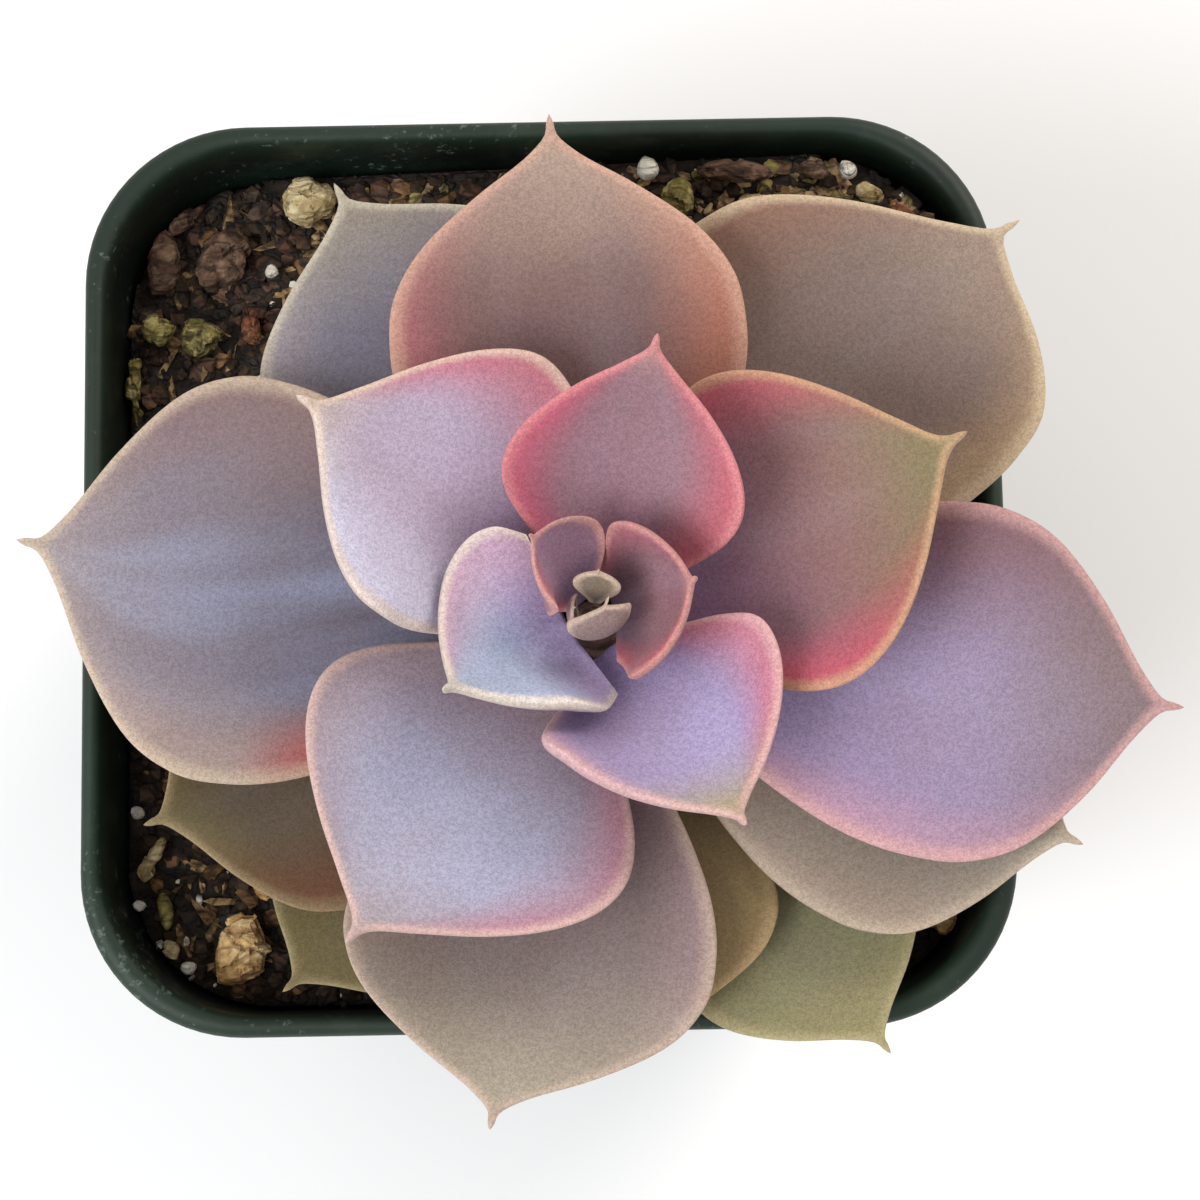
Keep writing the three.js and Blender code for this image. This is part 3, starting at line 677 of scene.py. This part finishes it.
def plasticMaterial():
    material, tree, shader, place = newMaterial("nurseryPlastic", {"Specular IOR Level": 0.38})
    broad = noise(tree, place, 28.0, 3.0)
    color = mixed(tree, between(tree, broad, 0.3, 0.7), paint(*potLook["dark"]), paint(*potLook["color"]))
    height = addNode(tree, "ShaderNodeSeparateXYZ", {0: place}).outputs[2]
    # The top of the lip is tinted lighter: a painted highlight.
    lipHighlight = between(tree, height, 0.084, 0.0885)
    color = mixed(tree, times(tree, lipHighlight, 0.4), color, paint(38, 58, 42))
    dust = useGroup(tree, dustGroup, {"Place": place, "Scale": 900.0, "Cover": 0.38})
    color = mixed(tree, times(tree, dust["Mask"], 0.4), color, paint(128, 142, 134))
    film = useGroup(tree, dustGroup, {"Place": place, "Scale": 160.0, "Cover": 0.5})
    color = mixed(tree, times(tree, film["Mask"], 0.03), color, paint(120, 128, 112))
    tree.links.new(color, shader.inputs["Base Color"])
    rough = plus(tree, potLook["roughness"], times(tree, dust["Mask"], 0.35))
    tree.links.new(plus(tree, rough, times(tree, broad, 0.1)), shader.inputs["Roughness"])
    bump(tree, noise(tree, place, 700.0, 3.0), 0.18, 0.0003, shader)
    return material


def buildPot():
    rings = [squareRing(half, height, potLook["cornerSteps"]) for half, height in potLook["profile"]]
    piece = loft("nurseryPot", rings, (0, 0, 0), (0, 0, 3.1 * millimetre))
    faceOutwards(piece)
    cutSlots(piece)
    piece.data.polygons.foreach_set("use_smooth", [True] * len(piece.data.polygons))
    piece.data.set_sharp_from_angle(angle=math.radians(40))
    stand(piece, ["pot"], plasticMaterial())


buildPot()
print("pot ready")


mixLook = {
    "columns": 440,
    "rows": 150,
    "clumpHeight": 1.5,  # millimetres
    "stemGap": 0.011,  # metres round the stem's middle without crumbs
    "shade": 0.034,  # metres from the stem's middle to the edge of the shade
    "shadeShare": 0.25,  # of the crumbs that lie in the shade
    "crumbs": [  # name, per square centimetre, smallest and largest size in millimetres, colours
        dict(
            name="crumbFine", density=56, low=0.25, high=0.7, slim=(0.5, 1),
            flat=0.75, seed=3, look="dark",
        ),
        dict(
            name="crumbCoarse", density=26, low=0.6, high=1.6, slim=(0.5, 1),
            flat=0.7, seed=8, look="earth",
        ),
        dict(
            name="crumbWood", density=6, low=0.7, high=2.2, slim=(0.35, 0.8),
            flat=0.35, seed=15, look="wood",
        ),
        dict(
            name="slivers", density=7, low=1.2, high=3.6, slim=(0.1, 0.22),
            flat=0.12, seed=31, look="straw",
        ),
        dict(
            name="heapChips", density=42, low=0.8, high=1.7, slim=(0.4, 0.8),
            flat=0.4, seed=44, look="chips", side=1,
        ),
        dict(
            name="mossLumps", density=20, low=0.6, high=1.4, slim=(0.6, 1),
            flat=0.6, seed=52, look="moss", side=1,
        ),
        dict(
            name="barkFlakes", density=12, low=1.2, high=2.2, slim=(0.5, 0.9),
            flat=0.3, seed=63, look="flake", side=-1,
        ),
    ],
    "dark": [(20, 14, 10), (44, 32, 22)],
    "earth": [(26, 18, 13), (76, 54, 36)],
    "wood": [(58, 38, 24), (150, 112, 70)],
    "straw": [(84, 60, 38), (186, 152, 104)],
    "chips": [(104, 74, 50), (212, 178, 132)],
    "moss": [(76, 66, 32), (172, 154, 92)],
    "flake": [(38, 24, 18), (104, 74, 56)],
    "perlite": [(214, 208, 192), (240, 236, 226)],
}


def mixSurface():
    work = mergedCopy("potting_mix")
    finder = BVHTree.FromBMesh(work)
    work.free()
    return finder


def mixTop(finder, x, y):
    hit = finder.ray_cast(Vector((x, y, 0.2)), Vector((0, 0, -1)))[0]
    return hit.z if hit else None


def buildMix(finder):
    low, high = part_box("potting_mix")
    half = (high.x - low.x) / 2 / millimetre - 0.2
    floor = low.z / millimetre
    columns, rows = mixLook["columns"], mixLook["rows"]
    outline = squareRing(half, 0, columns // 4)
    stemLow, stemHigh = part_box("stem")
    hub = Vector(((stemLow.x + stemHigh.x) / 2, (stemLow.y + stemHigh.y) / 2))
    rings = []
    for share, height in ((36.0 / half, floor), (1.0, 74.5)):
        ring = outline * [share, share, 1]
        ring[:, 2] = height * millimetre
        rings.append(ring)
    for row in range(rows):
        share = 1 - (row / rows) ** 0.85 * 0.985
        ring = np.empty_like(outline)
        for i, spot in enumerate(outline):
            x, y = spot[0] * share, spot[1] * share
            near = Vector((x, y)) - hub
            z = mixTop(finder, x, y) if near.length > 0.0098 else None
            if z is None or z < 0.07:
                z = 0.0785
            ring[i] = (x, y, z)
        rings.append(ring)
    piece = loft("pottingMix", rings, (0, 0, floor * millimetre), rings[-1].mean(0))
    faceOutwards(piece)
    count = len(outline)
    weight = np.zeros(len(piece.data.vertices), np.float32)
    weight[1 + 2 * count :] = 1
    setFloats(piece, "openTop", weight)
    return piece


def makeMixRelief():
    # Clumps, hollows and grit on the open top.
    inputs = [("Geometry", "Geometry"), ("Height", "Float"), ("Clump Scale", "Float"), ("Seed", "Float")]
    inputs += [("Material", "Material")]
    tree, given, made = newGroup("GeometryNodeTree", "mixRelief", inputs, [("Geometry", "Geometry")])
    position = tree.nodes.new("GeometryNodeInputPosition").outputs[0]
    top = addNode(tree, "GeometryNodeInputNamedAttribute", {"Name": "openTop"}, data_type="FLOAT").outputs[0]
    values = {"Vector": position, "W": given["Seed"], "Scale": given["Clump Scale"]}
    values |= {"Detail": 6.0, "Roughness": 0.62}
    clumps = addNode(tree, "ShaderNodeTexNoise", values, noise_dimensions="4D").outputs[0]
    lumps = cells(tree, position, times(tree, given["Clump Scale"], 2.6))
    shape = minus(tree, minus(tree, clumps, 0.6), times(tree, lumps, 0.35))
    height = times(tree, times(tree, shape, given["Height"]), top)
    offset = combine(tree, 0.0, 0.0, times(tree, height, 2 * millimetre))
    moved = addNode(tree, "GeometryNodeSetPosition", {"Geometry": given["Geometry"], "Offset": offset})
    endTree(tree, moved.outputs[0], given, made)
    return tree


def earthMaterial(name, colors, scale, roughness=0.82):
    material, tree, shader, place = newMaterial(name, {"Specular IOR Level": 0.4})
    parts = useGroup(tree, crumbleGroup, {"Place": place, "Scale": scale, "Stretch": 0.6})
    color = mixed(tree, parts["Fibre"], paint(*colors[0]), paint(*colors[1]))
    blotch = noise(tree, place, 210.0, 3.0, 0.6)
    color = mixed(tree, times(tree, between(tree, blotch, 0.5, 0.72), 0.5), color, paint(*colors[1]))
    color = mixed(tree, times(tree, parts["Crack"], 0.6), color, paint(8, 6, 5))
    tree.links.new(color, shader.inputs["Base Color"])
    rough = between(tree, noise(tree, place, 330.0, 2.0), 0.35, 0.65, roughness - 0.22, roughness + 0.12)
    tree.links.new(rough, shader.inputs["Roughness"])
    bump(tree, parts["Height"], 0.6, 0.0006, shader)
    return material


def makeScatter():
    # Uneven grains strewn over a surface, each bent by the same noise at its own place.
    inputs = [("Geometry", "Geometry"), ("Density", "Float"), ("Seed", "Int"), ("Smallest", "Float")]
    inputs += [("Largest", "Float"), ("Slimmest", "Float"), ("Fattest", "Float"), ("Flatness", "Float")]
    inputs += [("Unevenness", "Float"), ("Facets", "Int"), ("Material", "Material")]
    tree, given, made = newGroup("GeometryNodeTree", "scatterGrains", inputs, [("Geometry", "Geometry")])
    room = addNode(tree, "GeometryNodeInputNamedAttribute", {"Name": "room"}, data_type="FLOAT").outputs[0]
    spread = addNode(tree, "GeometryNodeDistributePointsOnFaces", {
        "Mesh": given["Geometry"], "Density": times(tree, given["Density"], room), "Seed": given["Seed"],
    })
    values = {"Radius": 1.0, "Subdivisions": given["Facets"]}
    grain = addNode(tree, "GeometryNodeMeshIcoSphere", values).outputs[0]
    turn = addNode(tree, "FunctionNodeRandomValue", {
        0: (-0.5, -0.5, 0.0), 1: (0.5, 0.5, 6.28), "Seed": given["Seed"],
    }, data_type="FLOAT_VECTOR").outputs[0]
    small, large = given["Smallest"], given["Largest"]
    seed = plus(tree, given["Seed"], 7.0)
    values = {2: small, 3: large, "Seed": seed}
    wide = addNode(tree, "FunctionNodeRandomValue", values, data_type="FLOAT").outputs[1]
    ratio = addNode(tree, "FunctionNodeRandomValue", {
        2: given["Slimmest"], 3: given["Fattest"], "Seed": given["Seed"],
    }, data_type="FLOAT").outputs[1]
    size = combine(tree, wide, times(tree, wide, ratio), times(tree, wide, given["Flatness"]))
    placed = addNode(tree, "GeometryNodeInstanceOnPoints", {
        "Points": spread.outputs["Points"], "Instance": grain, "Rotation": turn,
        "Scale": stretch(tree, size, millimetre),
    }).outputs[0]
    whole = addNode(tree, "GeometryNodeRealizeInstances", {0: placed}).outputs[0]
    position = tree.nodes.new("GeometryNodeInputPosition").outputs[0]
    values = {"Vector": position, "Scale": 900.0, "Detail": 1.0}
    wobble = addNode(tree, "ShaderNodeTexNoise", values).outputs["Color"]
    push = stretch(tree, calcVector(tree, "SUBTRACT", wobble, (0.5, 0.5, 0.5)), given["Unevenness"])
    values = {"Geometry": whole, "Offset": stretch(tree, push, millimetre)}
    moved = addNode(tree, "GeometryNodeSetPosition", values).outputs[0]
    flat = addNode(tree, "GeometryNodeSetShadeSmooth", {"Geometry": moved, "Shade Smooth": False}).outputs[0]
    endTree(tree, flat, given, made)
    return tree


def strewn(name, surface, tree, values, roomOf):
    # Grains over a copy of a surface, as dense at each point as roomOf says.
    piece = addPiece(name, surface.data.copy())
    setFloats(piece, "room", [roomOf(v.co) for v in piece.data.vertices])
    runTree(piece, tree, values)
    piece.data.name = name
    stand(piece, [])
    print(name, len(piece.data.polygons), "faces")
    return piece


finder = mixSurface()
pottingMix = buildMix(finder)
mixRelief, scatterGrains = makeMixRelief(), makeScatter()
runTree(pottingMix, mixRelief, {
    "Height": mixLook["clumpHeight"], "Clump Scale": 150.0, "Seed": 5.0,
    "Material": earthMaterial("peat", mixLook["dark"], 900.0),
})
stand(pottingMix, ["potting_mix"])
stemLow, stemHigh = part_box("stem")
hub = (stemLow + stemHigh) / 2
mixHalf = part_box("potting_mix")[1].x


def insideBy(spot):
    # How far a spot lies inside the rounded square outline of the mix.
    radius = 2 * mixHalf * potLook["cornerShare"]
    x, y = (abs(v) - mixHalf + radius for v in (spot.x, spot.y))
    return radius - math.hypot(max(x, 0), max(y, 0)) - min(max(x, y), 0)


def openRoom(spot, radius=1.0):
    # Grains lie on the open top, clear of the wall, and fewer in the shade under the rosette.
    if spot.z < 0.075 or insideBy(spot) < radius * millimetre:
        return 0.0
    away = math.hypot(spot.x - hub.x, spot.y - hub.y)
    if away < mixLook["stemGap"]:
        return 0.0
    return mixLook["shadeShare"] if away < mixLook["shade"] else 1.0


def roomFor(crumb):
    # Some chips gather on the heap in the back right corner, side 1, or in the back left corner, side -1.
    side = crumb.get("side")

    def room(spot):
        inCorner = not side or spot.y > 0.012 and spot.x * side > (0.008 if side > 0 else 0.022)
        return openRoom(spot, 0.8 * crumb["high"]) if inCorner else 0.0
    return room


for crumb in mixLook["crumbs"]:
    strewn(crumb["name"], pottingMix, scatterGrains, {
        "Density": crumb["density"] * perSquareCentimetre, "Seed": crumb["seed"],
        "Smallest": crumb["low"], "Largest": crumb["high"],
        "Slimmest": crumb["slim"][0], "Fattest": crumb["slim"][1], "Flatness": crumb["flat"],
        "Unevenness": crumb["high"] * 0.6, "Facets": 1,
        "Material": earthMaterial(crumb["name"] + "Earth", mixLook[crumb["look"]], 700.0, 0.85),
    }, roomFor(crumb))
strewn("perliteDust", pottingMix, scatterGrains, {
    "Density": 2.6 * perSquareCentimetre, "Seed": 21, "Smallest": 0.2, "Largest": 0.7,
    "Slimmest": 0.6, "Fattest": 1.0,
    "Flatness": 0.8, "Unevenness": 0.3, "Facets": 1,
    "Material": earthMaterial("perliteBits", mixLook["perlite"], 900.0, 0.8),
}, openRoom)
print("potting mix ready")


barkLook = {
    "bark_brown": [(42, 29, 22), (110, 82, 64), (150, 122, 98)],
    "bark_cream": [(128, 104, 62), (210, 190, 140), (232, 216, 174)],
    "bark_olive": [(70, 62, 26), (156, 142, 82), (196, 182, 122)],
    "bark_red": [(60, 30, 18), (136, 82, 54), (172, 120, 84)],
    "bark_tan": [(140, 94, 50), (238, 200, 138), (246, 220, 168)],
    "perlite": [(196, 188, 168), (232, 228, 216), (246, 244, 236)],
    "layerHeight": 0.5,  # millimetres
    "roughDepth": 0.55,
}


def makeChipRelief():
    # Splits a plain solid finely, steps it into layers and roughens it.
    inputs = [("Geometry", "Geometry"), ("Fineness", "Int"), ("Depth", "Float"), ("Layer", "Float")]
    inputs += [("Grain", "Float"), ("Seed", "Float"), ("Material", "Material")]
    tree, given, made = newGroup("GeometryNodeTree", "chipRelief", inputs, [("Geometry", "Geometry")])
    split = {"Mesh": given["Geometry"], "Level": given["Fineness"]}
    fine = addNode(tree, "GeometryNodeSubdivideMesh", split).outputs[0]
    position = tree.nodes.new("GeometryNodeInputPosition").outputs[0]
    normal = tree.nodes.new("GeometryNodeInputNormal").outputs[0]
    values = {"Vector": position, "W": given["Seed"], "Scale": given["Grain"], "Detail": 5.0, "Roughness": 0.6}
    rough = addNode(tree, "ShaderNodeTexNoise", values, noise_dimensions="4D").outputs[0]
    shards = addNode(tree, "ShaderNodeTexVoronoi", {
        "Vector": position, "W": given["Seed"], "Scale": times(tree, given["Grain"], 0.9),
    }, voronoi_dimensions="4D").outputs["Color"]
    steps = addNode(tree, "ShaderNodeSeparateXYZ", {0: shards}).outputs[0]
    shape = plus(tree, times(tree, minus(tree, rough, 0.55), given["Depth"]),
                 times(tree, minus(tree, steps, 0.5), given["Layer"]))
    offset = stretch(tree, normal, times(tree, shape, millimetre))
    moved = addNode(tree, "GeometryNodeSetPosition", {"Geometry": fine, "Offset": offset})
    endTree(tree, moved.outputs[0], given, made)
    return tree


def barkMaterial(slot):
    dark, main, light = barkLook[slot]
    material, tree, shader, place = newMaterial(slot + "Fibre", {"Specular IOR Level": 0.3, "Roughness": 0.85})
    parts = useGroup(tree, crumbleGroup, {"Place": place, "Scale": 750.0, "Stretch": 0.35})
    color = mixed(tree, parts["Fibre"], paint(*dark), paint(*main))
    color = mixed(tree, times(tree, parts["Worn"], 0.7), color, paint(*light))
    color = mixed(tree, times(tree, parts["Crack"], 0.5), color, paint(*dark))
    dirt = useGroup(tree, dustGroup, {"Place": place, "Scale": 800.0, "Cover": 0.42})
    color = mixed(tree, times(tree, dirt["Mask"], 0.75), color, paint(38, 27, 19))
    tree.links.new(color, shader.inputs["Base Color"])
    bump(tree, parts["Height"], 0.7, 0.0008, shader)
    return material


chipRelief = makeChipRelief()
barkMaterials = {slot: barkMaterial(slot) for slot in barkLook if slot.startswith(("bark", "perlite"))}
chipNodes = [node for node in sorted(frame["nodes"]) if node.startswith(("bark", "perlite"))]
for index, node in enumerate(chipNodes):
    piece = finerPiece(node, node.replace("_", ""), smooth=0.4)
    slot = slotOf[node]
    runTree(piece, chipRelief, {
        "Fineness": 2, "Depth": barkLook["roughDepth"] * (0.6 if slot == "perlite" else 1.6),
        "Layer": barkLook["layerHeight"] * (0.2 if slot == "perlite" else 1.6),
        "Grain": 420.0, "Seed": index * 2.3,
        "Material": barkMaterials[slot],
    })
    stand(piece, [node])
print("bark and perlite ready")


# The stem is coloured dark mauve like the leaf bases: painted shade, so the gap between the leaves reads as
# shadow.
stemLook = {"colors": [(70, 50, 50), (124, 98, 84)], "depth": 0.5}


def buildStem():
    piece = finerPiece("stem", "stemBody")
    piece.data.polygons.foreach_set("use_smooth", [True] * len(piece.data.polygons))
    runTree(piece, chipRelief, {
        "Fineness": 2, "Depth": stemLook["depth"], "Layer": 0.3, "Grain": 300.0, "Seed": 2.0,
        "Material": earthMaterial("stemSkin", stemLook["colors"], 260.0, 0.75),
    })
    stand(piece, ["stem"])


buildStem()
print("stem ready")


studioLook = {
    "floor": (246, 246, 246),
    "skyStrength": 0.7,
    "cameraTilt": 9.0,
    "cameraRoll": -1.05,
    "cameraDistance": 0.33,
    "cameraTarget": (0.0061, -0.005, 0.095),
    "lens": 91.7,
}


def areaLight(name, place, aim, size, power, color):
    data = bpy.data.lights.new(name, "AREA")
    data.shape, data.size, data.energy, data.color = "DISK", size, power, color
    light = bpy.data.objects.new(name, data)
    light.location = place
    light.rotation_euler = (Vector(aim) - Vector(place)).to_track_quat("-Z", "Y").to_euler()
    bpy.context.scene.collection.objects.link(light)


def buildStudio():
    scene = bpy.context.scene
    corners = [(-3, -3, 0), (3, -3, 0), (3, 3, 0), (-3, 3, 0)]
    floor = newPiece("studioFloor", corners, [(0, 1, 2, 3)], smooth=False)
    material, tree, shader, place = newMaterial("floorPaint", {"Roughness": 0.9, "Specular IOR Level": 0.1})
    tone = between(tree, noise(tree, place, 4.0, 2.0), 0.3, 0.7)
    shade = mixed(tree, tone, paint(*studioLook["floor"]), paint(250, 250, 250))
    tree.links.new(shade, shader.inputs["Base Color"])
    floor.data.materials.append(material)
    world = bpy.data.worlds.new("studioAir")
    world.use_nodes = True
    background = world.node_tree.nodes["Background"]
    background.inputs["Color"].default_value = (1.0, 0.985, 0.97, 1.0)
    background.inputs["Strength"].default_value = studioLook["skyStrength"]
    scene.world = world
    areaLight("softKey", (-0.55, -0.35, 0.75), (0, 0, 0.08), 0.6, 6.0, (0.94, 0.97, 1.0))
    areaLight("warmFill", (0.5, 0.55, 0.6), (0, 0, 0.08), 0.5, 3.5, (1.0, 0.92, 0.84))
    scene.view_settings.view_transform = "Standard"

    tilt = math.radians(studioLook["cameraTilt"])
    camera = bpy.data.objects.new("mainCamera", bpy.data.cameras.new("mainCamera"))
    back = Vector((0, -math.sin(tilt), math.cos(tilt)))
    camera.location = Vector(studioLook["cameraTarget"]) + back * studioLook["cameraDistance"]
    turn = Matrix.Rotation(tilt, 4, "X") @ Matrix.Rotation(math.radians(studioLook["cameraRoll"]), 4, "Z")
    camera.rotation_euler = turn.to_euler()
    camera.data.lens = studioLook["lens"]
    camera.data.clip_start = 0.01
    scene.collection.objects.link(camera)
    scene.camera = camera


buildStudio()
